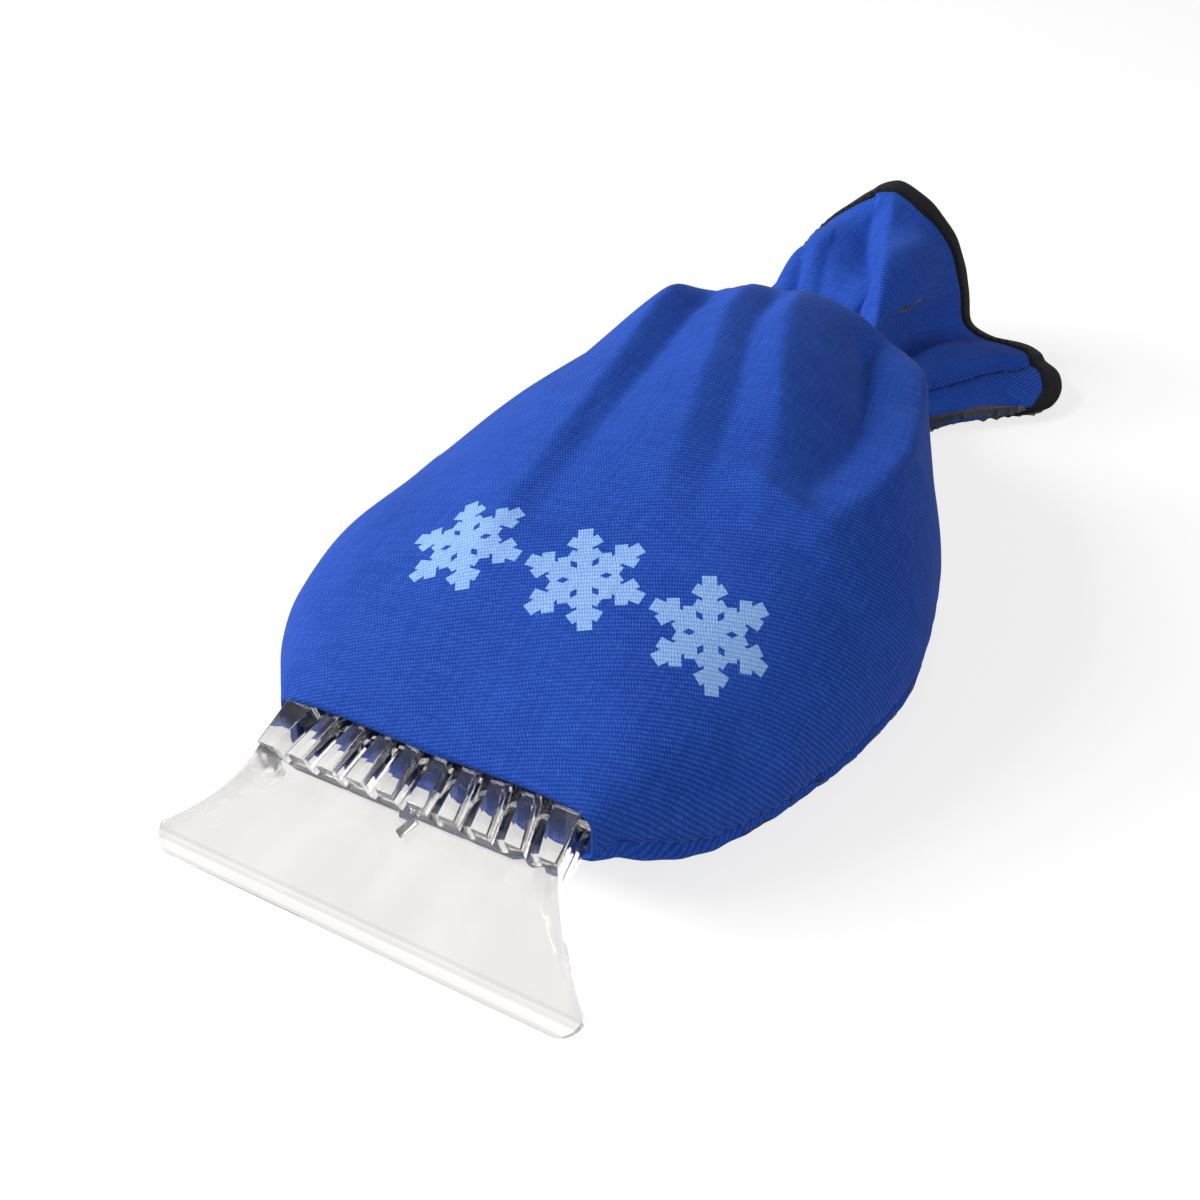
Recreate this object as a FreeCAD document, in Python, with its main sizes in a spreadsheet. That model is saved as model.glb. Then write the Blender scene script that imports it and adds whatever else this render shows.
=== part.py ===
import FreeCAD, Part
import math
import os
import re
import Sketcher

# A scraper mitt: a clear moulded scraper head whose handle runs up inside a lined fabric mitt,
# with an elastic wrist and a bound cuff.
# Distances marked "at" run along the mitt from the scraper's front edge.
# Heights are above the surface that the mitt lies on.
SIZES = [
    # the moulded head, in its own plane, before it is tilted
    ("head_centre", -7.0, "head's middle, across the mitt"),
    ("head_tilt", 16.5, "head's rise towards the mitt, in degrees"),
    ("blade_half", 52.5, "half the scraping edge"),
    ("blade_corner", 5.0, "radius of the blade's front corners"),
    ("blade_thick", 2.6, "blade"),
    ("edge_thick", 0.9, "blade at its front edge"),
    ("bevel_run", 3.5, "bevel behind the edge"),
    ("flare_radius", 60.0, "hollow curve of the blade's sides"),
    ("row_at", 27.0, "front of the row of ribs"),
    ("row_half", 37.2, "half the row of ribs"),
    ("rib_count", 10, "ribs in the row"),
    ("rib_top", 13.0, "top of the ribs above the head's underside"),
    ("channel_wide", 3.7, "channel between two ribs"),
    ("channel_floor", 6.6, "floor of the channels"),
    ("fan_reach", 133.0, "from the front of the ribs to the point they run towards"),
    ("gusset_reach", 8.5, "width of a side gusset where it meets the ribs"),
    ("spur_long", 4.5, "small spur in front of the ribs"),
    ("spur_half", 2.0, "half the spur's width"),
    ("neck_at", 41.0, "front of the groove that the slot's elastic grips"),
    ("neck_long", 6.0, "length of that groove"),
    ("neck_deep", 2.0, "depth of that groove"),
    ("collar_long", 3.0, "collar behind the groove"),
    ("collar_lip", 1.5, "how far the collar stands out"),
    ("handle_long", 104.0, "handle behind the collar"),
    ("handle_half", 13.0, "half the handle's width"),
    ("handle_low", 4.0, "handle's underside below the head's underside"),
    ("handle_tall", 18.0, "handle's height"),
    ("handle_wall", 3.2, "flanges of the handle's section"),
    ("web_thick", 4.0, "web of the handle's section"),
    ("end_plate", 3.0, "plate across the end of the handle"),
    # layers
    ("cloth", 1.0, "outer cloth"),
    ("lining", 2.0, "fleece lining"),
    ("gap", 0.2, "clearance between layers"),
    ("thread", 0.5, "sewing thread"),
    ("tape", 0.8, "binding tape"),
    ("slot_ease", 5.5, "room beside the head in the slot"),
    ("waste", 9.0, "room left round a piece for the cuts that trim it"),
    ("spring", 6.0, "upright sides of the mitt below the arch of its top"),
    # stations along the mitt
    ("slot_at", 34.5, "slot"), ("slot_floor", 8.4, ""), ("slot_top", 28.0, ""),
    ("front_at", 50.0, "shoulder beside the slot"), ("front_half", 56.0, ""), ("front_top", 34.0, ""),
    ("palm_at", 68.0, "fingers"), ("palm_half", 67.0, ""), ("palm_top", 42.0, ""),
    ("knuckle_at", 98.0, "knuckles"), ("knuckle_half", 78.0, ""), ("knuckle_top", 54.0, ""),
    ("wide_at", 125.0, "widest place"), ("wide_half", 84.0, ""), ("wide_top", 61.0, ""),
    ("middle_at", 155.0, "behind the handle"), ("middle_half", 80.0, ""), ("middle_top", 65.0, ""),
    ("heel_at", 190.0, "heel of the hand"), ("heel_half", 69.0, ""), ("heel_top", 64.0, ""),
    ("rear_at", 215.0, "start of the waist"), ("rear_half", 56.0, ""), ("rear_top", 58.0, ""),
    ("waist_at", 238.0, "waist"), ("waist_half", 43.0, ""), ("waist_top", 43.0, ""),
    ("waist_centre", 5.0, "waist's middle, across the mitt"), ("waist_floor", 1.3, ""),
    ("wrist_at", 263.0, "end of the gathers, start of the cuff"),
    ("flare_at", 298.0, "cuff's flare"), ("flare_half", 54.0, ""), ("flare_top", 54.0, ""),
    ("flare_centre", 21.0, "cuff's middle at the flare"),
    ("hem_at", 326.0, "edge of the binding"), ("hem_half", 56.0, ""), ("hem_top", 58.0, ""),
    ("hem_centre", 26.0, "cuff's middle at its mouth"),
    ("hem_floor", 1.0, "cuff's underside, held up by its binding"),
    ("mouth_at", 336.0, "cuff's mouth"),
    # wrist
    ("elastic_at", 240.5, "wrist elastic"), ("elastic_wide", 7.0, ""), ("elastic_thick", 1.2, ""),
    ("slot_elastic_thick", 1.1, "elastic in the slot's hem"),
]

# name of a station, then its middle, half-width, underside and top, as names in the sheet
BODY_STATIONS = [
    ("slot", "head_centre", "row_half + slot_ease", "slot_floor", "slot_top", 0.84),
    ("front", "head_centre", "front_half", "0", "front_top", 0.62),
    ("palm", "head_centre * 0.85", "palm_half", "0", "palm_top", 0.46),
    ("knuckle", "head_centre * 0.5", "knuckle_half", "0", "knuckle_top", 0.34),
    ("wide", "0", "wide_half", "0", "wide_top", 0.30),
    ("middle", "waist_centre * -0.2", "middle_half", "0", "middle_top", 0.28),
    ("heel", "0", "heel_half", "0", "heel_top", 0.26),
    ("rear", "waist_centre * 0.5", "rear_half", "0", "rear_top", 0.24),
    ("waist", "waist_centre", "waist_half", "waist_floor", "waist_top", 0.22),
]
CUFF_STATIONS = [
    ("wrist", "waist_centre", "waist_half", "waist_floor", "waist_top", 0.22),
    ("flare", "flare_centre", "flare_half", "hem_floor", "flare_top", 0.22),
    ("hem", "hem_centre", "hem_half", "hem_floor", "hem_top", 0.22),
    ("mouth", "hem_centre", "hem_half", "hem_floor", "hem_top", 0.22),
]
OVERALL = "mouth_at + gap + tape"
UNDER_CLOTH = "cloth + gap"
THREAD_INSET = "cloth + lining + 2 * gap"
LINING_FLOOR_INSET = "cloth + lining + 3 * gap + thread"
ELASTIC_INSET = "cloth + 2 * gap + thread"
WRIST_LINING_INSET = "cloth + 3 * gap + thread + elastic_thick"
TAPE_INSET = "cloth + lining + 2 * gap"

Vector = FreeCAD.Vector
Constraint = Sketcher.Constraint
START, END, CENTRE = 1, 2, 3
ORIGIN = (-1, 1)

doc = FreeCAD.newDocument("scraper_mitt")
sheet = doc.addObject("Spreadsheet::Sheet", "sizes")
for row, (alias, size, note) in enumerate(SIZES, 1):
    sheet.set(f"A{row}", alias)
    sheet.set(f"B{row}", str(size))
    sheet.set(f"C{row}", note)
    sheet.setAlias(f"B{row}", alias)
doc.recompute()


def bound(words):
    """Return an expression on the sheet for a sum written in the sheet's names."""
    return re.sub(r"\b[a-z]\w*\b(?!\()", r"sizes.\g<0>", words)


def measure(words):
    """Return the number that a sum in the sheet's names comes to now."""
    answer = sheet.evalExpression(bound(words))
    return float(getattr(answer, "Value", answer))


class Drawing:
    """A sketch on a body's own origin plane, moved along its normal, with bound sizes."""

    def __init__(self, body, name, plane, lift="0"):
        self.sketch = body.newObject("Sketcher::SketchObject", name)
        own = next(f for f in body.Origin.OriginFeatures if f.Role == plane)
        self.sketch.AttachmentSupport = (own, [""])
        self.sketch.MapMode = "FlatFace"
        self.sketch.AttachmentOffset = FreeCAD.Placement(Vector(0, 0, measure(lift)), FreeCAD.Rotation())
        self.sketch.setExpression("AttachmentOffset.Base.z", bound(lift))

    def bind(self, kind, *where):
        """Add a constraint whose last argument is a sum in the sheet's names."""
        number = self.sketch.addConstraint(Constraint(kind, *where[:-1], measure(where[-1])))
        self.sketch.setExpression(f"Constraints[{number}]", bound(where[-1]))

    def pin(self, shape, point, x, y):
        self.bind("DistanceX", *ORIGIN, shape, point, x)
        self.bind("DistanceY", *ORIGIN, shape, point, y)

    def join(self, first, first_point, second, second_point):
        self.sketch.addConstraint(Constraint("Coincident", first, first_point, second, second_point))

    def line(self, first, last):
        return self.sketch.addGeometry(Part.LineSegment(first, last), False)

    def point(self, shape, point):
        return self.sketch.getPoint(shape, point)

    def polygon(self, corners):
        """Draw a closed outline through corners given as pairs of sums."""
        places = [Vector(measure(x), measure(y), 0) for x, y in corners]
        lines = [self.line(here, there) for here, there in zip(places, places[1:] + places[:1])]
        for number, (x, y) in enumerate(corners):
            self.join(lines[number - 1], END, lines[number], START)
            self.pin(lines[number], START, x, y)

    def quarter(self, side, x, y, across, up):
        """Draw a quarter of an ellipse from its crown at (x, y + up) down to one side."""
        middle = Vector(measure(x), measure(y), 0)
        wide, tall = measure(across), measure(up)
        lying = wide >= tall
        if lying:
            ellipse = Part.Ellipse(middle, wide, tall)
            turn = (0, math.pi / 2) if side > 0 else (math.pi / 2, math.pi)
        else:
            ellipse = Part.Ellipse(middle + Vector(0, tall, 0), middle - Vector(wide, 0, 0), middle)
            turn = (-math.pi / 2, 0) if side > 0 else (0, math.pi / 2)
        arc = self.sketch.addGeometry(Part.ArcOfEllipse(ellipse, *turn), False)
        major = arc + 1
        self.sketch.exposeInternalGeometry(arc)
        minor = major + 1
        self.sketch.addConstraint(Constraint("Horizontal" if lying else "Vertical", major))
        self.bind("Distance", major, f"2 * ({across if lying else up})")
        self.bind("Distance", minor, f"2 * ({up if lying else across})")
        self.pin(arc, CENTRE, x, y)
        flat, upright = (major, minor) if lying else (minor, major)
        foot, crown = (START, END) if side > 0 else (END, START)
        self.sketch.addConstraint(Constraint("PointOnObject", arc, foot, flat))
        self.sketch.addConstraint(Constraint("PointOnObject", arc, crown, upright))
        return arc, foot, crown

    def dome(self, station, inset, foot):
        """Draw an arch over a station: upright legs, two side quarters and the crown."""
        name, centre, half, floor, top, flatness = station
        ends = []
        for side in (-1, 1):
            x = f"{centre} + {side * flatness} * ({half})"
            across = f"(1 - {flatness}) * ({half}) - ({inset})"
            up = f"({top}) - ({inset}) - ({floor} + spring)"
            arc, low, high = self.quarter(side, x, f"{floor} + spring", across, up)
            knee = self.point(arc, low)
            leg = self.line(knee, Vector(knee.x, measure(foot), 0))
            self.join(leg, START, arc, low)
            self.sketch.addConstraint(Constraint("Vertical", leg))
            self.bind("DistanceY", *ORIGIN, leg, END, foot)
            ends.append((leg, arc, high))
        (left_leg, left, left_crown), (right_leg, right, right_crown) = ends
        crown = self.line(self.point(left, left_crown), self.point(right, right_crown))
        self.join(crown, START, left, left_crown)
        self.join(crown, END, right, right_crown)
        return (left_leg, END), (right_leg, END)

    def sole(self, first, last):
        """Close a gap between two ends with a straight line."""
        line = self.line(self.point(*first), self.point(*last))
        self.join(line, START, *first)
        self.join(line, END, *last)

    def arch(self, station, inset, thick, foot):
        """Draw the closed section of an arched layer of cloth."""
        outer = self.dome(station, inset, foot)
        inner = self.dome(station, f"{inset} + {thick}", foot)
        for outer_end, inner_end in zip(outer, inner):
            self.sole(outer_end, inner_end)

    def hoop(self, station, inset):
        """Draw a closed flat-soled outline, inset from a station's outside."""
        self.sole(*self.dome(station, inset, f"{station[3]} + {inset}"))


def new_body(label):
    """Start a sub-part whose lengths are counted from the scraper's front edge."""
    body = doc.addObject("PartDesign::Body", label)
    body.Label = label
    body.AllowCompound = True
    body.Placement = FreeCAD.Placement(Vector(0, -measure(OVERALL) / 2, 0), FreeCAD.Rotation())
    body.setExpression("Placement.Base.y", bound(f"-({OVERALL}) / 2"))
    return body


def new_head_body(label):
    """Start a sub-part that lies in the head's tilted plane."""
    body = new_body(label)
    place = Vector(measure("head_centre"), body.Placement.Base.y, 0)
    body.Placement = FreeCAD.Placement(place, FreeCAD.Rotation(Vector(1, 0, 0), measure("head_tilt")))
    body.setExpression("Placement.Base.x", bound("head_centre"))
    body.setExpression("Placement.Base.y", bound(f"-({OVERALL}) / 2"))
    body.setExpression("Placement.Rotation.Angle", bound("head_tilt") + " * 1 deg")
    return body


def finish(body, feature):
    body.Tip = feature
    doc.recompute()
    return body.Shape.Volume


def pad(body, name, drawing, length, both_ways=False):
    feature = body.newObject("PartDesign::Pad", name)
    feature.Profile = drawing.sketch
    feature.Length = measure(length)
    feature.setExpression("Length", bound(length))
    feature.Midplane = both_ways
    finish(body, feature)
    return feature


def pocket(body, name, drawing, length=None, both_ways=False):
    """Cut a sketch away, and stop if it cuts nothing."""
    before = finish(body, body.Tip)
    feature = body.newObject("PartDesign::Pocket", name)
    feature.Profile = drawing.sketch
    feature.Midplane = both_ways
    if length is None:
        feature.Type = "ThroughAll"
    else:
        feature.Length = measure(length)
        feature.setExpression("Length", bound(length))
    if finish(body, feature) >= before - 1e-6:
        raise RuntimeError(f"{body.Label}: {name} cuts nothing")
    return feature


def loft(body, name, drawings):
    feature = body.newObject("PartDesign::AdditiveLoft", name)
    feature.Profile = drawings[0].sketch
    feature.Sections = [drawing.sketch for drawing in drawings[1:]]
    feature.Ruled = True
    finish(body, feature)
    return feature


def back(station):
    """Return the lift of an upright plane at a station, whose normal points to the front."""
    return f"-({station[0]}_at)"


def arched_panel(label, stations, inset, thick):
    """Make an arched layer of cloth through the stations, standing on the cloth below it."""
    body = new_body(label)
    drawings = []
    for station in stations:
        drawing = Drawing(body, f"{label}_{station[0]}", "XZ_Plane", back(station))
        drawing.arch(station, inset, thick, f"{station[3]} + cloth + gap")
        drawings.append(drawing)
    loft(body, f"{label}_loft", drawings)


def plan_outline(stations, inset):
    """Return the corners of the outline of the stations seen from above."""
    right = [(f"{s[1]} + {s[2]} - ({inset})", f"{s[0]}_at") for s in stations]
    left = [(f"{s[1]} - ({s[2]}) + ({inset})", f"{s[0]}_at") for s in stations]
    return right + left[::-1]


def flat_panel(label, stations, inset, thick, raised):
    """Make the layer that lies under the arch: a bent strip trimmed to the plan outline."""
    body = new_body(label)
    low = [(f"{s[0]}_at", f"{s[3]} + {raised}") for s in stations]
    high = [(along, f"{up} + {thick}") for along, up in low]
    strip = Drawing(body, f"{label}_side", "YZ_Plane")
    strip.polygon(low + high[::-1])
    pad(body, f"{label}_strip", strip, "4 * wide_half", both_ways=True)
    trim = Drawing(body, f"{label}_plan", "XY_Plane")
    trim.polygon(plan_outline(stations, inset))
    near, far = f"{stations[0][0]}_at - waste", f"{stations[-1][0]}_at + waste"
    wide = "3 * wide_half"
    trim.polygon([(wide, near), (wide, far), (f"-{wide}", far), (f"-{wide}", near)])
    pocket(body, f"{label}_trim", trim, "4 * wide_half", both_ways=True)


def side_thread(label, stations, side, raised):
    """Make the seam thread that runs along one side, just inside the cloth."""
    body = new_body(label)
    outer, inner = ([(f"{s[1]} + {side} * ({s[2]} - ({inset}))", f"{s[0]}_at") for s in stations]
                    for inset in (THREAD_INSET, f"{THREAD_INSET} + thread"))
    drawing = Drawing(body, f"{label}_path", "XY_Plane", raised)
    drawing.polygon(outer + inner[::-1])
    pad(body, f"{label}_thread", drawing, "thread")


def hoops(label, station, inset, thick, rows):
    """Make hoops of one thickness round the wrist or cuff; each row has a start and a width."""
    body = new_body(label)
    for number, (start, width) in enumerate(rows, 1):
        drawing = Drawing(body, f"{label}_{number}", "XZ_Plane", f"-({start} + {width})")
        drawing.hoop(station, inset)
        drawing.hoop(station, f"{inset} + {thick}")
        pad(body, f"{label}_hoop_{number}", drawing, width)


def binding(label, station):
    """Make the tape folded round the cuff's mouth: a hoop with a groove for the cloth."""
    body = new_body(label)
    tape = Drawing(body, "tape_section", "XZ_Plane", f"-({OVERALL})")
    tape.hoop(station, "-(gap + tape)")
    tape.hoop(station, f"{TAPE_INSET} + tape")
    pad(body, "tape_hoop", tape, f"{OVERALL} - hem_at")
    groove = Drawing(body, "groove_section", "XZ_Plane", "-hem_at")
    groove.hoop(station, "-gap")
    groove.hoop(station, TAPE_INSET)
    pocket(body, "tape_groove", groove, "mouth_at + gap - hem_at")


def block(half, low, high):
    """Return the corners of an upright rectangle centred on the head."""
    return [(f"-({half})", low), (half, low), (half, high), (f"-({half})", high)]


def slot_ring(label, inset, thick, margin):
    """Make a band in the head's groove, inset from the rib row's outside."""
    body = new_head_body(label)
    ring = Drawing(body, f"{label}_section", "XZ_Plane", f"-(neck_at + neck_long - {margin})")
    for depth in (inset, f"{inset} + {thick}"):
        ring.polygon(block(f"row_half - ({depth})", depth, f"rib_top - ({depth})"))
    pad(body, f"{label}_band", ring, f"neck_long - 2 * ({margin})")


def scraper_head(label):
    """Make the clear moulding: bevelled blade, gussets, fanned ribs, neck, collar and handle."""
    body = new_head_body(label)
    row_end = "neck_at + neck_long + collar_long"
    side = Drawing(body, "blade_and_row", "YZ_Plane")
    side.polygon([
        ("0", "0"), (row_end, "0"), (row_end, "rib_top"), ("row_at", "rib_top"),
        ("row_at", "blade_thick"), ("bevel_run", "blade_thick"), ("0", "edge_thick"),
    ])
    pad(body, "blank", side, "2 * blade_half + 2", both_ways=True)

    for number in range(int(measure("rib_count")) - 1):
        along = f"({number} - (rib_count - 2) / 2) * (2 * row_half + channel_wide) / rib_count"
        channel = Drawing(body, f"channel_{number + 1}", "XZ_Plane", "-row_at")
        turn = f"atan(({along}) / fan_reach)"
        offset = FreeCAD.Placement(Vector(measure(along), 0, -measure("row_at")),
                                   FreeCAD.Rotation(Vector(0, 1, 0), measure(turn)))
        channel.sketch.AttachmentOffset = offset
        channel.sketch.setExpression("AttachmentOffset.Base.x", bound(along))
        channel.sketch.setExpression("AttachmentOffset.Base.z", bound("-row_at"))
        radius = measure("channel_wide") / 2
        floor = measure("channel_floor") + radius
        arc = channel.sketch.addGeometry(Part.ArcOfCircle(
            Part.Circle(Vector(0, floor, 0), Vector(0, 0, 1), radius), math.pi, 2 * math.pi), False)
        channel.pin(arc, CENTRE, "0", "channel_floor + channel_wide / 2")
        channel.bind("Radius", arc, "channel_wide / 2")
        top = measure("rib_top") + 1
        rim = [channel.line(channel.point(arc, END), Vector(radius, top, 0)),
               channel.line(Vector(radius, top, 0), Vector(-radius, top, 0)),
               channel.line(Vector(-radius, top, 0), channel.point(arc, START))]
        channel.join(arc, END, rim[0], START)
        channel.join(rim[0], END, rim[1], START)
        channel.join(rim[1], END, rim[2], START)
        channel.join(rim[2], END, arc, START)
        for end in (START, END):
            channel.sketch.addConstraint(Constraint("Horizontal", arc, end, arc, CENTRE))
        channel.sketch.addConstraint(Constraint("Vertical", rim[0]))
        channel.sketch.addConstraint(Constraint("Horizontal", rim[1]))
        channel.sketch.addConstraint(Constraint("Vertical", rim[2]))
        channel.bind("DistanceY", *ORIGIN, rim[1], START, "rib_top + 1")
        pocket(body, f"channel_cut_{number + 1}", channel, "neck_at - row_at + neck_deep")

    for name, side in (("left", -1), ("right", 1)):
        rib_end = Drawing(body, f"gusset_{name}_rib", "XZ_Plane", "-(row_at + gap)")
        rib_end.polygon([(f"{side} * (row_half - gusset_reach)", "blade_thick - gap"),
                         (f"{side} * (row_half + 1)", "blade_thick - gap"),
                         (f"{side} * (row_half + 1)", "rib_top - gap")])
        front = Drawing(body, f"gusset_{name}_corner", "XZ_Plane", "-(bevel_run + gap)")
        front.polygon([(f"{side} * (blade_half - 2)", "blade_thick - gap"),
                       (f"{side} * (blade_half + 1)", "blade_thick - gap"),
                       (f"{side} * (blade_half + 1)", "blade_thick + gap")])
        loft(body, f"gusset_{name}", [front, rib_end])

    spur = Drawing(body, "spur_plan", "XY_Plane")
    spur.polygon([("-spur_half", "row_at + gap"), ("0", "row_at - spur_long"), ("spur_half", "row_at + gap")])
    pad(body, "spur", spur, "channel_floor")

    for name, side in (("left", -1), ("right", 1)):
        plan = Drawing(body, f"plan_{name}", "XY_Plane")
        side_waste(plan, side, row_end)
        pocket(body, f"plan_cut_{name}", plan, "6 * rib_top", both_ways=True)

    neck = Drawing(body, "neck_groove", "XZ_Plane", "-neck_at")
    neck.polygon(block("row_half + waste", "-waste", "rib_top + waste"))
    neck.polygon(block("row_half - neck_deep", "neck_deep", "rib_top - neck_deep"))
    pocket(body, "neck_cut", neck, "neck_long")

    collar = Drawing(body, "collar_section", "XZ_Plane", f"-({row_end})")
    collar.polygon(block("row_half + collar_lip", "-collar_lip", "rib_top + collar_lip"))
    pad(body, "collar", collar, "collar_long")

    grip_end = f"{row_end} + handle_long"
    high = "handle_tall - handle_low"
    grip = Drawing(body, "handle_section", "XZ_Plane", f"-({grip_end})")
    grip.polygon([
        ("-handle_half", "-handle_low"), ("handle_half", "-handle_low"),
        ("handle_half", "handle_wall - handle_low"), ("web_thick / 2", "handle_wall - handle_low"),
        ("web_thick / 2", f"{high} - handle_wall"), ("handle_half", f"{high} - handle_wall"),
        ("handle_half", high), ("-handle_half", high),
        ("-handle_half", f"{high} - handle_wall"), ("-web_thick / 2", f"{high} - handle_wall"),
        ("-web_thick / 2", "handle_wall - handle_low"), ("-handle_half", "handle_wall - handle_low"),
    ])
    pad(body, "handle", grip, "handle_long")
    plate = Drawing(body, "plate_section", "XZ_Plane", f"-({grip_end})")
    plate.polygon(block("handle_half", "-handle_low", high))
    pad(body, "handle_end", plate, "end_plate")


def side_waste(plan, side, row_end):
    """Draw the waste outside one side of the head: round corner, hollow flare, straight row."""
    half, corner, radius = measure("blade_half"), measure("blade_corner"), measure("flare_radius")
    waste = measure("waste")
    edge = Vector(0, 0, 0)
    nose = Vector(side * (half - corner), 0, 0)
    tip = Vector(side * half, corner, 0)
    shoulder = Vector(side * measure("row_half"), measure("row_at"), 0)
    row_back = Vector(shoulder.x, measure(f"{row_end} + waste"), 0)
    far_back = Vector(side * (half + waste), row_back.y, 0)
    far_front = Vector(far_back.x, -waste, 0)
    near_front = Vector(0, -waste, 0)
    chord = shoulder - tip
    reach = (radius ** 2 - (chord.Length / 2) ** 2) ** 0.5
    hollow = tip + chord * 0.5 + Vector(chord.y, -chord.x, 0) * (side * reach / chord.Length)
    shapes = [
        Part.LineSegment(edge, nose),
        arc_between(Vector(nose.x, corner, 0), corner, nose, tip),
        arc_between(hollow, radius, tip, shoulder),
        Part.LineSegment(shoulder, row_back),
        Part.LineSegment(row_back, far_back),
        Part.LineSegment(far_back, far_front),
        Part.LineSegment(far_front, near_front),
        Part.LineSegment(near_front, edge),
    ]
    places = [edge, nose, tip, shoulder, row_back, far_back, far_front, near_front]
    chain = plan.sketch.addGeometry(shapes, False)
    starts = [START if (plan.point(shape, START) - place).Length < 1e-6 else END
              for shape, place in zip(chain, places)]
    for number, shape in enumerate(chain):
        after = (number + 1) % len(chain)
        plan.join(shape, START + END - starts[number], chain[after], starts[after])
    plan.pin(chain[0], START, "0", "0")
    plan.pin(chain[0], END, f"{side} * (blade_half - blade_corner)", "0")
    plan.pin(chain[2], starts[2], f"{side} * blade_half", "blade_corner")
    plan.bind("Radius", chain[1], "blade_corner")
    plan.bind("Radius", chain[2], "flare_radius")
    plan.pin(chain[3], START, f"{side} * row_half", "row_at")
    plan.pin(chain[4], START, f"{side} * row_half", f"{row_end} + waste")
    plan.pin(chain[5], START, f"{side} * (blade_half + waste)", f"{row_end} + waste")
    plan.pin(chain[6], START, f"{side} * (blade_half + waste)", "-waste")
    plan.pin(chain[7], START, "0", "-waste")


def arc_between(centre, radius, first, last):
    """Return the shorter arc of a circle between two of its points."""
    circle = Part.Circle(centre, Vector(0, 0, 1), radius)
    low, high = circle.parameter(first), circle.parameter(last)
    if (high - low) % (2 * math.pi) > math.pi:
        low, high = high, low
    return Part.ArcOfCircle(circle, low, high)


scraper_head("scraper_head")
slot_ring("slot_elastic", "gap", "slot_elastic_thick", "2 * gap")
slot_ring("slot_hem", "-(gap + cloth)", "cloth", "gap")
slot_ring("slot_stitching", "-(2 * gap + cloth + thread)", "thread", "neck_long / 2 - thread")

arched_panel("outer_top_panel", BODY_STATIONS, "0", "cloth")
flat_panel("outer_bottom_panel", BODY_STATIONS, "0", "cloth", "0")
LINED = BODY_STATIONS[1:]
arched_panel("lining_top_panel", LINED, UNDER_CLOTH, "lining")
flat_panel("lining_bottom_panel", LINED, LINING_FLOOR_INSET, "lining", UNDER_CLOTH)
for name, side in (("left", -1), ("right", 1)):
    side_thread(f"side_stitching_{name}", BODY_STATIONS[1:-1], side, "cloth + gap")

WAIST = BODY_STATIONS[-1]
hoops("wrist_gather_outer", WAIST, "0", "cloth", [("waist_at + gap", "wrist_at - waist_at - 2 * gap")])
hoops("wrist_stitching", WAIST, "cloth + gap", "thread",
      [("elastic_at", "2 * thread"), ("elastic_at + elastic_wide - 2 * thread", "2 * thread")])
hoops("wrist_elastic", WAIST, ELASTIC_INSET, "elastic_thick", [("elastic_at", "elastic_wide")])
hoops("wrist_gather_lining", WAIST, WRIST_LINING_INSET, "lining",
      [("waist_at + gap", "wrist_at - waist_at - 2 * gap")])

arched_panel("cuff_top_panel", CUFF_STATIONS, "0", "cloth")
flat_panel("cuff_bottom_panel", CUFF_STATIONS, "0", "cloth", "0")
arched_panel("cuff_lining_top", CUFF_STATIONS, UNDER_CLOTH, "lining")
flat_panel("cuff_lining_bottom", CUFF_STATIONS, LINING_FLOOR_INSET, "lining", UNDER_CLOTH)
for name, side in (("left", -1), ("right", 1)):
    side_thread(f"cuff_stitching_{name}", CUFF_STATIONS[1:3], side, "hem_floor + cloth + gap")
binding("cuff_binding", CUFF_STATIONS[-1])
hoops("binding_stitching", CUFF_STATIONS[-1], "-(gap + thread)", "thread",
      [("hem_at - 3 * gap - 2 * thread", "thread")])

doc.recompute()
for item in doc.Objects:
    if "Invalid" in item.State or "Error" in item.State:
        raise RuntimeError(f"{item.Label} failed: {item.State}")
os.makedirs("parts", exist_ok=True)
for body in [item for item in doc.Objects if item.TypeId == "PartDesign::Body"]:
    if body.Shape.isNull() or not body.Shape.isValid():
        raise RuntimeError(f"{body.Label} has no valid shape")
    body.Shape.exportStep(f"parts/{body.Label}.step")
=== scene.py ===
"""Ice scraper mitt: a clear scraper head held in a lined, gathered cloth mitt with a bound cuff."""

import math

import bmesh
import bpy
import numpy as np
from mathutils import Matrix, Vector


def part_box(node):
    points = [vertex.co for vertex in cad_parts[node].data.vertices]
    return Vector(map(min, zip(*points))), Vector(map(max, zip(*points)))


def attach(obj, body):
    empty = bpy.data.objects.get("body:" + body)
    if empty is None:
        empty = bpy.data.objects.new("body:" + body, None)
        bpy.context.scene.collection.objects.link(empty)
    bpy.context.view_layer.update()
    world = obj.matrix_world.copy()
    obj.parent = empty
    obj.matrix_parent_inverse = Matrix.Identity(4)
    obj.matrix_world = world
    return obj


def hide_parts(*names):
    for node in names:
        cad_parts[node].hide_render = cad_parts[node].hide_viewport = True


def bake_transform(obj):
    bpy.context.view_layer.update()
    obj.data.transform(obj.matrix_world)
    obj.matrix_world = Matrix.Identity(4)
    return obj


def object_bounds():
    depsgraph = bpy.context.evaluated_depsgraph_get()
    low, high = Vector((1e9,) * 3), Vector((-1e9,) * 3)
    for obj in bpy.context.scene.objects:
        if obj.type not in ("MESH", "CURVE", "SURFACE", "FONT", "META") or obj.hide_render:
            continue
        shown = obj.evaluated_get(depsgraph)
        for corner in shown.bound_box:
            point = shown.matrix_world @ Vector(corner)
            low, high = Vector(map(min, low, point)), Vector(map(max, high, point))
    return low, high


bl_info = {
    "name": "Ice Scraper Mitt",
    "version": (1, 0, 0),
    "blender": (4, 5, 0),
    "location": "View3D > Sidebar > Ice Mitt",
    "description": "Builds the cloth, clear plastic, tape and thread of an ice scraper mitt",
    "category": "Object",
}

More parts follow.
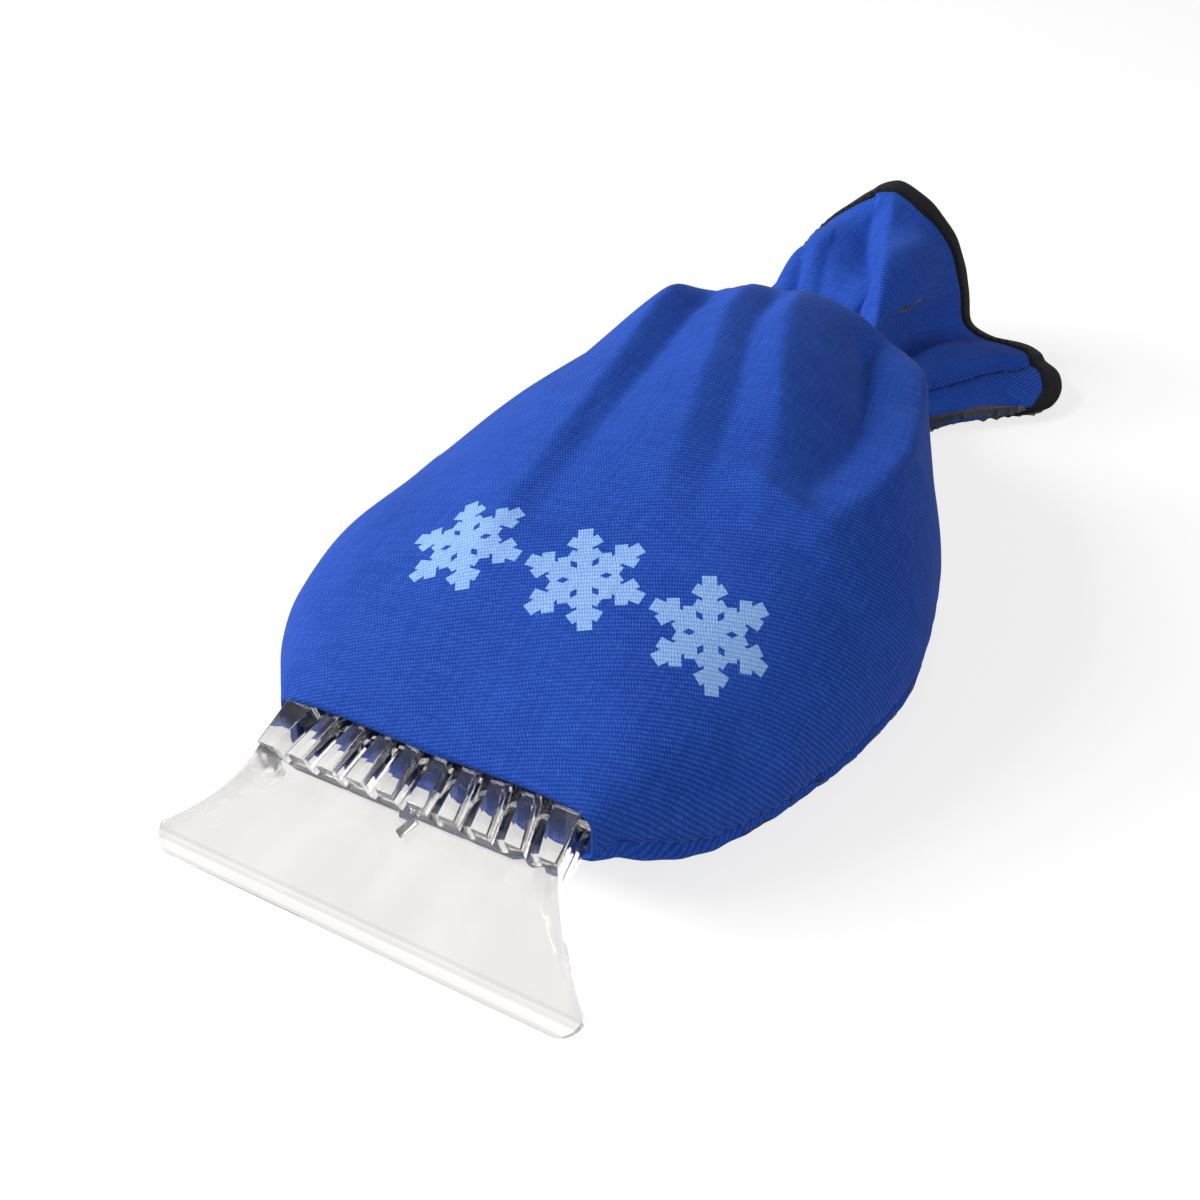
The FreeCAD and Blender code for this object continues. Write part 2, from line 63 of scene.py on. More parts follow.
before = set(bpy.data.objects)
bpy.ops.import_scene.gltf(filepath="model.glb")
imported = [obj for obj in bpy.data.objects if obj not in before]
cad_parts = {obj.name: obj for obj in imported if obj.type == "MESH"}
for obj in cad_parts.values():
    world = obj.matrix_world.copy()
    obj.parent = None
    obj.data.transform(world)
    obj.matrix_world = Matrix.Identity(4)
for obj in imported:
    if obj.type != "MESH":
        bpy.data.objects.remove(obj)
CAD_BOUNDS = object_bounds()

MM = 0.001
HEAD_LOW, HEAD_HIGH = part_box("scraper_head")
MITT_LOW, MITT_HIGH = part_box("outer_top_panel")
# Lengths below are in mm: across from the mitt's middle, behind the blade's edge, above the floor.
ORIGIN = np.array([(MITT_LOW.x + MITT_HIGH.x) / 2, HEAD_LOW.y, CAD_BOUNDS[0].z])

# behind, left edge, crown's place, right edge, seam height, crown height, underside height,
# squareness of the left flank and of the right one
MITT_ROWS = (
    (33.5, -47.0, -7.0, 33.5, 14.0, 24.6, 8.2, 6.0, 6.0),
    (37.0, -50.0, -7.0, 37.0, 12.5, 27.5, 7.0, 5.0, 5.0),
    (43.0, -55.5, -6.5, 44.5, 9.5, 31.5, 3.4, 3.9, 4.0),
    (52.0, -63.5, -6.0, 52.5, 6.5, 36.0, 0.8, 3.0, 3.3),
    (68.0, -73.5, -4.0, 61.5, 5.5, 42.5, 0.3, 2.3, 2.7),
    (98.0, -81.5, 0.0, 73.5, 5.5, 53.0, 0.3, 1.8, 2.4),
    (125.0, -82.5, 4.0, 78.5, 5.5, 60.0, 0.3, 1.58, 2.25),
    (155.0, -81.5, 6.0, 75.5, 6.0, 64.0, 0.3, 1.55, 2.15),
    (190.0, -71.0, 8.0, 63.5, 7.0, 65.0, 0.3, 1.75, 2.2),
    (212.0, -58.0, 8.0, 56.5, 9.0, 62.0, 0.6, 2.1, 2.3),
    (222.0, -51.0, 7.5, 53.5, 10.0, 59.0, 0.8, 2.2, 2.3),
    (231.0, -43.0, 6.5, 49.5, 11.0, 52.5, 1.1, 2.1, 2.2),
    (240.0, -36.0, 5.0, 44.5, 12.0, 41.5, 1.4, 2.1, 2.1),
)
WRIST = 240.0
# The upper cuff panel's rows from the left seam to the right one: across, behind, above.
CUFF_MIDDLE_TOP = (
    (-24, 291, 8), (-23, 293, 22), (-20, 297, 35), (-17, 300, 45), (-7, 299, 50), (8, 290, 47),
    (20, 288, 50), (30, 286, 45), (36, 285, 36), (34.5, 285, 27), (36, 286, 21), (42, 287, 22),
    (51, 289, 17.5), (59, 291, 12),
)
CUFF_MOUTH_TOP = (
    (-38, 330, 8), (-34, 331, 13), (-27, 333, 24), (-19, 334, 38), (-9, 335, 49), (8, 336, 60),
    (34, 334, 44), (42, 336, 25), (46, 335, 12), (58, 337, 6), (70, 333, 7), (77, 322, 8.5),
)
CUFF_MIDDLE_BOTTOM = (
    (-24, 291, 8), (-19, 290, 3.2), (0, 285, 2.4), (30, 265, 2.4), (47, 260, 2.6), (57, 268, 4.4),
    (60, 280, 8), (59, 291, 12),
)
CUFF_MOUTH_BOTTOM = (
    (-38, 330, 8), (-30, 325, 4), (-10, 310, 3.2), (20, 286, 3.2), (44, 273, 3.2), (56, 276, 3.2),
    (67, 281, 3.2), (79, 287, 3.2), (85, 295, 4), (86, 304, 5.5), (83, 314, 7.5), (77, 322, 8.5),
)
# Soft folds of the upper panel: line in plan (across, behind), height, half width to left and right.
CREASES = (
    (((-27, 228), (-25, 196), (-22, 168), (-19.5, 149), (-18.5, 119), (-19, 70)), 4.6, 12.0, 4.0),
    (((-19, 226), (-17, 196), (-14, 168), (-12.5, 149), (-11.5, 119), (-12, 84)), -3.9, 4.0, 10.0),
    (((-6, 224), (-3, 190), (4, 158), (12, 120), (15, 100)), 2.6, 5.0, 6.0),
    (((3, 224), (8, 180), (16, 150), (21, 125), (24, 100)), -3.4, 6.0, 6.0),
    (((10, 222), (14, 190), (23, 160), (32, 134), (38, 104)), 3.4, 6.0, 9.0),
    (((36, 226), (40, 203), (45, 182), (48.5, 162), (48, 143), (44, 118)), -8.5, 13.0, 3.6),
    (((44, 224), (49, 204), (54, 186), (58, 158), (57, 138), (50, 108)), 5.5, 4.0, 6.0),
    (((-46, 214), (-50, 170), (-60, 130)), -3.0, 9.0, 9.0),
    (((55, 62), (42, 41), (36, 35)), -2.0, 2.2, 2.2),
    (((62, 72), (46, 52)), 1.4, 2.6, 2.6),
)
CUFF_CREASES = (
    (((-4, 256), (-10, 278), (-17, 304)), -3.2, 3.0, 4.0),
    (((3, 254), (0, 272), (-4, 296)), -2.4, 3.0, 7.0),
    (((22, 250), (16.5, 272), (10, 300), (5, 320)), -7.5, 12.0, 2.8),
    (((28, 250), (24, 264), (19.5, 279), (13.5, 305), (9, 332)), 3.6, 2.4, 5.0),
    (((29, 256), (32, 272), (36, 292), (42, 318)), -4.6, 4.6, 4.0),
    (((50, 262), (58, 290), (68, 318)), 2.2, 5.0, 3.5),
)
# How deep each seam draws the cloth in, and how far from it.
SEAM_DEPTH, SEAM_REACH = 1.7, 2.4
# Rows of the cloth's grids: along the mitt, then along each half of the cuff. Columns run across.
MITT_LINES, CUFF_LINES = 150, 42
TOP_COLUMNS, BOTTOM_COLUMNS = 201, 161
WRIST_ROW = MITT_LINES - 1
# The lining takes every second row from the collar to just inside the cuff's mouth.
LINING_ROWS = slice(26, -3, 2)
# Rows from the mouth that show which way the tape folds back, on the upper and lower panel.
TAPE_BACK_TOP, TAPE_BACK_BOTTOM = -9, -24
# Outlines and lines drawn round the whole mitt.
SLOT_POINTS, WRIST_POINTS, TAPE_POINTS = 360, 300, 520
ELASTIC_DARK, ELASTIC_LIGHT = (0.012, 0.012, 0.014), (0.05, 0.05, 0.055)


def in_frame(points):
    """Points in mm from the mitt's own origin, as metres in the frame."""
    return np.asarray(points, float) * MM + ORIGIN


def unit(vectors):
    """The vectors with their lengths made 1."""
    return vectors / np.linalg.norm(vectors, axis=1, keepdims=True)


def run_along(line):
    """How far along a line each of its points is."""
    return np.concatenate([[0], np.cumsum(np.linalg.norm(np.diff(line, axis=0), axis=1))])


def read_along(values, run, at):
    """The values that go with a line's points, read at other distances along it."""
    return np.stack([np.interp(at, run, values[:, k]) for k in range(values.shape[1])], 1)


def smooth_through(knots, values, at):
    """A smooth curve through the values at the knots, with no overshoot, read at the places given."""
    x, y = np.asarray(knots, float), np.asarray(values, float)
    step = np.diff(x)
    slope = np.diff(y) / step
    tangent = np.zeros_like(y)
    tangent[0], tangent[-1] = slope[0], slope[-1]
    for i in range(1, len(x) - 1):
        if slope[i - 1] * slope[i] > 0:
            a, b = 2 * step[i] + step[i - 1], step[i] + 2 * step[i - 1]
            tangent[i] = (a + b) / (a / slope[i - 1] + b / slope[i])
    at = np.clip(np.asarray(at, float), x[0], x[-1])
    i = np.clip(np.searchsorted(x, at, side="right") - 1, 0, len(x) - 2)
    t = (at - x[i]) / step[i]
    return (
        (2 * t**3 - 3 * t**2 + 1) * y[i]
        + (t**3 - 2 * t**2 + t) * step[i] * tangent[i]
        + (3 * t**2 - 2 * t**3) * y[i + 1]
        + (t**3 - t**2) * step[i] * tangent[i + 1]
    )


def evenly(points, count):
    """The line through the points, as a smooth run of evenly spaced ones."""
    points = np.asarray(points, float)
    run = run_along(points)
    fine = np.linspace(0, run[-1], count * 4)
    line = np.stack([smooth_through(run, points[:, k], fine) for k in range(3)], 1)
    run = run_along(line)
    return read_along(line, run, np.linspace(0, run[-1], count))


def closed_line(points, count):
    """A closed line as evenly spaced points."""
    points = np.concatenate([points, points[:1]])
    run = run_along(points)
    return read_along(points, run, np.linspace(0, run[-1], count, endpoint=False))


def evened(values, spread):
    """Values round a closed line, each blended with its neighbours."""
    count = len(values)
    gap = np.minimum(np.arange(count), count - np.arange(count))
    share = np.exp(-((gap / spread) ** 2))
    blur = np.fft.rfft(share / share.sum())[:, None]
    return np.fft.irfft(np.fft.rfft(values, axis=0) * blur, n=count, axis=0)


def mitt_row(behind, count, top):
    """One row across the mitt's upper or lower panel, from its left seam to its right one."""
    knots = [row[0] for row in MITT_ROWS]
    left, middle, right, seam, crown, under, soft, firm = (
        float(smooth_through(knots, [row[k] for row in MITT_ROWS], behind)) for k in range(1, 9)
    )
    angle = np.linspace(math.pi, 0, count * 6)
    across, rise = np.cos(angle), np.sin(angle)
    half = np.where(across < 0, middle - left, right - middle)
    if top:
        power = 2 / np.where(across < 0, soft, firm)
        x = middle + half * np.sign(across) * np.abs(across) ** power
        z = seam + (crown - seam) * np.abs(rise) ** power
    else:
        x = middle + half * np.sign(across) * np.abs(across) ** 0.32
        z = seam - (seam - under) * np.abs(rise) ** 0.32
    line = np.stack([x, np.full_like(x, behind), z], 1)
    run = run_along(line)
    return read_along(line, run, np.linspace(0, run[-1], count))


def panel_grid(top):
    """The whole upper or lower panel from the slot to the cuff's mouth, as rows of points in mm."""
    count = TOP_COLUMNS if top else BOTTOM_COLUMNS
    share = np.linspace(0, 1, MITT_LINES)
    first, last = MITT_ROWS[0][0], WRIST
    behinds = first + (last - first) * (0.35 * share**2 + 0.65 * share)
    rows = [mitt_row(b, count, top) for b in behinds]
    middle = evenly(CUFF_MIDDLE_TOP if top else CUFF_MIDDLE_BOTTOM, count)
    mouth = evenly(CUFF_MOUTH_TOP if top else CUFF_MOUTH_BOTTOM, count)
    wrist = rows[-1]
    leave = (rows[-1] - rows[-4]) / (behinds[-1] - behinds[-4])
    near = np.linalg.norm(middle - wrist, axis=1)[:, None]
    far = np.linalg.norm(mouth - middle, axis=1)[:, None]
    through = (mouth - wrist) / (near + far)
    ends = (
        (wrist, leave * near * 0.9, middle, through * near),
        (middle, through * far, mouth, through * far),
    )
    for start, start_way, end, end_way in ends:
        for t in np.linspace(0, 1, CUFF_LINES + 1)[1:]:
            rows.append(
                (2 * t**3 - 3 * t**2 + 1) * start
                + (t**3 - 2 * t**2 + t) * start_way
                + (3 * t**2 - 2 * t**3) * end
                + (t**3 - t**2) * end_way
            )
    return np.array(rows)


def normals_of(grid):
    """The upward normals of a grid of points."""
    along, across = np.gradient(grid, axis=0), np.gradient(grid, axis=1)
    normal = np.cross(across, along)
    return normal / np.maximum(np.linalg.norm(normal, axis=2, keepdims=True), 1e-9)


def lengths_of(grid):
    """How far each point is across from the panel's middle line and along from its front edge, in mm."""
    across = np.linalg.norm(np.diff(grid, axis=1), axis=2)
    across = np.concatenate([np.zeros((len(grid), 1)), np.cumsum(across, axis=1)], axis=1)
    across -= across[:, across.shape[1] // 2][:, None]
    along = np.linalg.norm(np.diff(grid, axis=0), axis=2).mean(axis=1)
    along = np.concatenate([[0], np.cumsum(along)])[:, None] * np.ones_like(across)
    return across, along


def distance_to(line, across, behind):
    """How far each place in plan is from a line, below 0 to its left, and its share of the line."""
    line = np.asarray(line, float)
    steps = np.linalg.norm(np.diff(line, axis=0), axis=1)
    total = steps.sum()
    nearest, place, done = np.full(across.shape, 1e9), np.zeros(across.shape), 0.0
    for a, b, step in zip(line[:-1], line[1:], steps):
        t = ((across - a[0]) * (b[0] - a[0]) + (behind - a[1]) * (b[1] - a[1])) / step**2
        t = np.clip(t, 0, 1)
        gap = np.hypot(across - a[0] - t * (b[0] - a[0]), behind - a[1] - t * (b[1] - a[1]))
        turn = (b[0] - a[0]) * (behind - a[1]) - (b[1] - a[1]) * (across - a[0])
        closer = gap < np.abs(nearest)
        nearest = np.where(closer, gap * np.where(turn < 0, -1, 1), nearest)
        place = np.where(closer, (done + t * step) / total, place)
        done += step
    return nearest, place


def slow_waves(x, y, seed, size):
    """Gentle random unevenness about size mm long, between -1 and 1."""
    rng = np.random.default_rng(seed)
    total = np.zeros_like(x)
    for _ in range(7):
        way = rng.uniform(0, 2 * math.pi)
        length = size * rng.uniform(0.6, 1.7)
        turns = (x * math.cos(way) + y * math.sin(way)) / length
        total += np.sin(2 * math.pi * turns + rng.uniform(0, 6.3))
    return total / 4


def crest(gap, half):
    """The height across a fold, with a fairly sharp crest, for a gap from its line."""
    blunt = np.sqrt(gap**2 + 0.6) - 0.6**0.5
    return np.exp(-((blunt / half) ** 1.15))


def ruffle(grid, settings, top):
    """How far the cloth stands out of its smooth shape: gathers, folds and puckers, in mm."""
    x, behind = grid[:, :, 0], grid[:, :, 1]
    across, along = lengths_of(grid)
    share = np.linspace(0, 1, grid.shape[1])[None, :] * np.ones_like(x)
    seam_gap = np.minimum(share, 1 - share) * (across[:, -1:] - across[:, :1])
    rows = np.arange(len(grid))[:, None] * np.ones_like(x)
    wrist_row = np.argmin(np.abs(grid[:, grid.shape[1] // 2, 1] - WRIST - 3))
    from_wrist = along - along[wrist_row]
    turns = 19 if top else 15
    phase = 2 * math.pi * (turns * share + 0.4 * np.sin(2 * math.pi * (2.3 * share + 0.1)))
    wave = np.sin(phase) * (0.72 + 0.28 * np.sin(2 * math.pi * (4.7 * share + 0.3)))
    reach = np.where(from_wrist < 0, 17.0, 13.0)
    gather = settings.gather_depth / MM * np.exp(-np.abs(from_wrist / reach) ** 1.6) * wave
    pinch = -1.6 * np.exp(-((from_wrist / 4.5) ** 2))
    out = gather + pinch
    pucker = np.sin(2 * math.pi * (along / 8.5 + 0.5 * np.sin(along / 23.0)))
    out += 0.4 * pucker * np.exp(-((seam_gap / 5.0) ** 2))
    deeper = 1 + 0.9 * np.clip((from_wrist - 14) / 10, 0, 1)
    out -= SEAM_DEPTH * deeper * np.exp(-((seam_gap / SEAM_REACH) ** 1.3))
    out += 0.45 * slow_waves(across, along, 3 if top else 4, 55.0) * np.clip(seam_gap / 12, 0, 1)
    if top:
        for line, height, left, right in CREASES:
            gap, place = distance_to(line, x, behind)
            rear = np.clip((231 - behind) / 30, 0, 1)
            fade = np.clip(1 - place, 0, 1) ** 0.5 * rear * rear * (3 - 2 * rear)
            spread = np.where(gap < 0, left, right) * (0.75 + 0.7 * place)
            out += settings.fold_depth * height * fade * crest(gap, spread)
        for line, height, left, right in CUFF_CREASES:
            gap, place = distance_to(line, x, behind)
            fade = np.clip((behind - WRIST - 2) / 16, 0, 1) * (1 - 0.45 * place)
            out += settings.fold_depth * height * fade * crest(gap, np.where(gap < 0, right, left))
    last = len(grid) - 1
    calm = np.clip((last - rows - 6) / 10, 0.5 if top else 0.1, 1)
    return out * calm * np.clip(rows / 4, 0, 1)


def keep_lengths(mesh, lengths):
    """Keeps each point's place on the flat cloth, in mm, for the material's weave."""
    attribute = mesh.attributes.new("cloth", "FLOAT_VECTOR", "POINT")
    attribute.data.foreach_set("vector", np.asarray(lengths, np.float32).ravel())


def sew(name, grid, thickness):
    """A closed shell of cloth from a grid in mm, with its cloth lengths kept for the weave."""
    normal = normals_of(grid)
    inner = grid - normal * thickness
    rows, cols = grid.shape[:2]
    verts = in_frame(np.concatenate([grid.reshape(-1, 3), inner.reshape(-1, 3)]))
    index = np.arange(rows * cols).reshape(rows, cols)
    a, b = index[:-1, :-1].ravel(), index[:-1, 1:].ravel()
    c, d = index[1:, 1:].ravel(), index[1:, :-1].ravel()
    outer = np.stack([a, b, c, d], 1)
    under = np.stack([d, c, b, a], 1) + rows * cols
    rim = np.concatenate([index[0, :-1], index[:-1, -1], index[-1, :0:-1], index[:0:-1, 0]])
    ahead = np.roll(rim, -1)
    sides = np.stack([ahead, rim, rim + rows * cols, ahead + rows * cols], 1)
    faces = np.concatenate([outer, under, sides])
    mesh = bpy.data.meshes.new(name)
    mesh.from_pydata(verts.tolist(), [], faces.tolist())
    mesh.update()
    across, along = lengths_of(grid)
    cloth = np.stack([across, along, np.zeros_like(across)], 2).reshape(-1, 3)
    keep_lengths(mesh, np.concatenate([cloth, cloth]))
    return add_piece(name, mesh)


def add_piece(name, mesh, body=None):
    """An object for a finished mesh, smooth shaded, riding on a body if one is named."""
    mesh.polygons.foreach_set("use_smooth", [True] * len(mesh.polygons))
    mesh.validate()
    piece = bpy.data.objects.new(name, mesh)
    bpy.context.scene.collection.objects.link(piece)
    if body:
        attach(piece, body)
    return piece


def thread_piece(name, runs, body):
    """One piece of capped tubes. Each run is its points, two unit vectors across it and its scales."""
    profile = round_profile(8)
    sides = len(profile)
    verts, faces, lengths = [], [], []
    for line, first, second, scale in runs:
        base = len(verts)
        walked = run_along(line)
        for i in range(len(line)):
            for k in range(sides):
                u, v = profile[k]
                verts.append(line[i] + (first[i] * u + second[i] * v) * scale[i])
                lengths.append((k / sides * 14.0, walked[i], 0.0))
        for i in range(len(line) - 1):
            for k in range(sides):
                n = (k + 1) % sides
                faces.append((base + i * sides + k, base + i * sides + n,
                              base + (i + 1) * sides + n, base + (i + 1) * sides + k))
        faces.append(tuple(base + k for k in reversed(range(sides))))
        faces.append(tuple(base + (len(line) - 1) * sides + k for k in range(sides)))
    mesh = bpy.data.meshes.new(name)
    mesh.from_pydata(in_frame(verts).tolist(), [], faces)
    mesh.update()
    keep_lengths(mesh, lengths)
    return add_piece(name, mesh, body)


def ring(name, line, first, second, profile):
    """A closed band with one outline all the way round, in mm."""
    count, sides = len(line), len(profile)
    verts = line[:, None] + first[:, None] * profile[None, :, :1] + second[:, None] * profile[None, :, 1:]
    verts[..., 2] = np.maximum(verts[..., 2], 0.2)
    index = np.arange(count * sides).reshape(count, sides)
    a, b = index, np.roll(index, -1, axis=1)
    faces = np.stack([a, b, np.roll(b, -1, axis=0), np.roll(a, -1, axis=0)], 2).reshape(-1, 4)
    mesh = bpy.data.meshes.new(name)
    mesh.from_pydata(in_frame(verts.reshape(-1, 3)).tolist(), [], faces.tolist())
    mesh.update()
    round_it = np.linspace(0, 14, sides, endpoint=False)
    keep_lengths(mesh, np.stack(np.broadcast_arrays(round_it[None, :], run_along(line)[:, None], 0.0), 2))
    return add_piece(name, mesh)


def rounded_moulding(source, width):
    """A copy of the moulding with its facets joined and its free edges rounded."""
    shape = bmesh.new()
    shape.from_mesh(source)
    bmesh.ops.remove_doubles(shape, verts=shape.verts, dist=0.00001)
    bmesh.ops.dissolve_limit(
        shape, angle_limit=math.radians(0.5), verts=shape.verts, edges=shape.edges)
    tight = set()
    for vert in shape.verts:
        shortest = min(edge.calc_length() for edge in vert.link_edges)
        sharpest = min(loop.calc_angle() for loop in vert.link_loops)
        if shortest < width * 2.2 or sharpest < math.radians(38):
            tight.add(vert)
    free = [
        edge for edge in shape.edges
        if math.radians(35) < edge.calc_face_angle(0) < math.radians(125)
        and not tight.intersection(edge.verts)
    ]
    bmesh.ops.bevel(
        shape, geom=free, offset=width, segments=2, profile=0.5, affect="EDGES", clamp_overlap=False)
    mesh = bpy.data.meshes.new("clear_head")
    shape.to_mesh(mesh)
    shape.free()
    return mesh


def round_profile(sides, u=1.0, v=1.0, power=1.0):
    """A round or squarish outline of so many points."""
    turn = 2 * np.pi * np.arange(sides) / sides
    c, s = np.cos(turn), np.sin(turn)
    return np.stack([np.sign(c) * np.abs(c) ** power * u, np.sign(s) * np.abs(s) ** power * v], 1)


def stitches(line, normal, pitch, length, gauge):
    """The runs of a row of stitches along a line lying on cloth, each dipping in at both its ends."""
    line, normal = np.asarray(line, float), np.asarray(normal, float)
    walked = run_along(line)
    runs = []
    for start in np.arange(pitch * 0.3, walked[-1] - length, pitch):
        at = np.linspace(start, start + length, 7)
        points = read_along(line, walked, at)
        out = unit(read_along(normal, walked, at))
        lift = np.sin(np.linspace(0, math.pi, 7)) ** 0.6
        points = points + out * ((lift * 0.95 - 0.45) * gauge)[:, None]
        way = unit(np.gradient(points, axis=0))
        side = unit(np.cross(way, out))
        up = np.cross(side, way)
        scale = gauge / 2 * (0.55 + 0.45 * lift)
        runs.append((points, side, up, scale))
    return runs


class Field:
    """A shader socket that takes part in sums: each operator adds the Math node for it."""

    def __init__(self, recipe, socket):
        self.recipe = recipe
        self.socket = socket

    def maths(self, operation, *others, swap=False):
        values = (*others, self) if swap else (self, *others)
        return self.recipe.add("ShaderNodeMath", {"operation": operation}, dict(enumerate(values)))

    def __add__(self, other):
        return self.maths("ADD", other)

    def __radd__(self, other):
        return self.maths("ADD", other, swap=True)

    def __sub__(self, other):
        return self.maths("SUBTRACT", other)

    def __rsub__(self, other):
        return self.maths("SUBTRACT", other, swap=True)

    def __mul__(self, other):
        return self.maths("MULTIPLY", other)

    def __rmul__(self, other):
        return self.maths("MULTIPLY", other, swap=True)

    def __truediv__(self, other):
        return self.maths("DIVIDE", other)

    def __pow__(self, other):
        return self.maths("POWER", other)

    def __mod__(self, other):
        return self.maths("FLOORED_MODULO", other)

    def __lt__(self, other):
        return self.maths("LESS_THAN", other)

    def __gt__(self, other):
        return self.maths("GREATER_THAN", other)

    def __abs__(self):
        return self.maths("ABSOLUTE")


class Recipe:
    """One material and the nodes it is made of."""

    def __init__(self, name):
        self.material = bpy.data.materials.new(name)
        self.material.use_nodes = True
        self.nodes = self.material.node_tree.nodes
        self.links = self.material.node_tree.links
        self.shader = self.nodes["Principled BSDF"]

    def add(self, kind, settings=None, sockets=None, output=0):
        """A node of that kind: its settings first, then the values or links of its sockets."""
        node = self.nodes.new(kind)
        for key, value in (settings or {}).items():
            setattr(node, key, value)
        for key, value in (sockets or {}).items():
            self.feed(node.inputs[key], value)
        return Field(self, node.outputs[output])

    def feed(self, socket, value):
        """Links a field to a socket, or sets the socket to a plain value."""
        if isinstance(value, Field):
            self.links.new(value.socket, socket)
        else:
            if socket.type == "RGBA" and len(value) == 3:
                value = (*value, 1)
            socket.default_value = value

    def finish(self, **sockets):
        """Feeds the main shader, whose sockets are named with _ for a space."""
        for name, value in sockets.items():
            self.feed(self.shader.inputs[name.replace("_", " ")], value)
        return self.material

    def cloth_place(self):
        """Where a point is on its flat panel, in mm: as a vector, then across and along."""
        place = self.add("ShaderNodeAttribute", {"attribute_name": "cloth"}, output=1)
        split = self.add("ShaderNodeSeparateXYZ", {}, {0: place})
        node = split.socket.node
        return place, Field(self, node.outputs[0]), Field(self, node.outputs[1])

    def noise(self, place, scale, detail=2.0, rough=0.5):
        """Even noise between 0 and 1."""
        sockets = {"Vector": place, "Scale": scale, "Detail": detail, "Roughness": rough}
        return self.add("ShaderNodeTexNoise", {}, sockets)

    def stretched(self, place, scale):
        """A place with each of its axes scaled."""
        return self.add("ShaderNodeVectorMath", {"operation": "MULTIPLY"}, {0: place, 1: scale})

    def mix(self, factor, first, second):
        """A colour between two colours."""
        sockets = {0: factor, 6: first, 7: second}
        return self.add("ShaderNodeMix", {"data_type": "RGBA"}, sockets, output=2)

    def ease(self, value, low, high):
        """0 below low, 1 above high and smooth between."""
        sockets = {"Value": value, "From Min": low, "From Max": high}
        return self.add("ShaderNodeMapRange", {"interpolation_type": "SMOOTHSTEP"}, sockets)

    def bump(self, height, strength, distance):
        """The normal of a surface raised by height."""
        sockets = {"Height": height, "Strength": strength, "Distance": distance}
        return self.add("ShaderNodeBump", {}, sockets)

    def sine(self, value):
        return value.maths("SINE")


def snowflakes(recipe, x, y, settings):
    """Where the row of printed snowflakes covers the cloth, 0 to 1."""
    pitch, count = settings.motif_pitch / MM, 3
    size = pitch * 0.46
    stroke = size * 0.115
    turn = math.radians(settings.motif_turn)
    dx, dy = x - settings.motif_across / MM, y - settings.motif_along / MM
    u = dx * math.cos(turn) + dy * math.sin(turn)
    v = dy * math.cos(turn) - dx * math.sin(turn)
    inside = (abs(u) < pitch * count / 2) * (abs(v) < size * 1.2)
    u = (u + pitch * count / 2) % pitch - pitch / 2
    angle = v.maths("ARCTAN2", u).maths("PINGPONG", math.pi / 6)
    reach = (u * u + v * v) ** 0.5
    p, q = reach * angle.maths("COSINE"), reach * angle.maths("SINE")
    mask = (q < stroke) * (p < size)
    for start, length in ((0.36, 0.27), (0.64, 0.27)):
        side = abs((p - start * size) * 0.866 - q * 0.5)
        run = (p - start * size) * 0.5 + q * 0.866
        branch = (side < stroke * 0.85) * (run < length * size) * (run > 0)
        mask = mask.maths("MAXIMUM", branch)
    return mask * inside


def blue_cloth(settings, printed):
    """Plain woven royal blue polyester, with the pale print if it is asked for."""
    recipe = Recipe("blue_cloth_printed" if printed else "blue_cloth")
    place, x, y = recipe.cloth_place()
    pitch = settings.weave_pitch / MM
    drift = recipe.noise(place, 0.14, 3.0) - 0.5
    wx = (x + drift * 1.6) * (2 * math.pi / pitch)
    wy = (y + drift * 1.3) * (2 * math.pi / pitch)
    weave = recipe.sine(wx) * recipe.sine(wy + wx * 0.5)
    slub = recipe.noise(place, 1.5, 3.0, 0.65) - 0.5
    warp = recipe.noise(recipe.stretched(place, (0.09, 1.1, 1.0)), 1.0, 1.0) - 0.5
    weft = recipe.noise(recipe.stretched(place, (1.1, 0.09, 1.0)), 1.0, 1.0) - 0.5
    dots = recipe.ease(weave + slub * 1.5 + (warp + weft) * 1.1, -0.5, 1.15)
    broad = recipe.noise(place, 0.035, 3.0)
    deep, dark = tuple(settings.cloth_deep), tuple(settings.cloth_dark)
    ground = recipe.mix(recipe.ease(broad, 0.3, 0.7), deep, dark)
    colour = recipe.mix(dots * 0.9, ground, tuple(settings.cloth_light))
    if printed:
        flakes = snowflakes(recipe, x, y, settings)
        thin = recipe.ease(weave + slub * 1.4, -1.25, -0.45)
        pale = recipe.mix(dots * 0.8, tuple(settings.print_dark), tuple(settings.print_light))
        colour = recipe.mix(flakes * (thin * 0.25 + 0.75), colour, pale)
    height = weave * 0.5 + slub * 0.6
    roughness = 0.82 - dots * 0.14
    return recipe.finish(
        Base_Color=colour, Roughness=roughness, Normal=recipe.bump(height, 0.55, 0.00022),
        Sheen_Weight=0.05, Sheen_Roughness=0.4, Sheen_Tint=(0.55, 0.7, 1.0, 1.0),
        Specular_IOR_Level=0.05,
    )


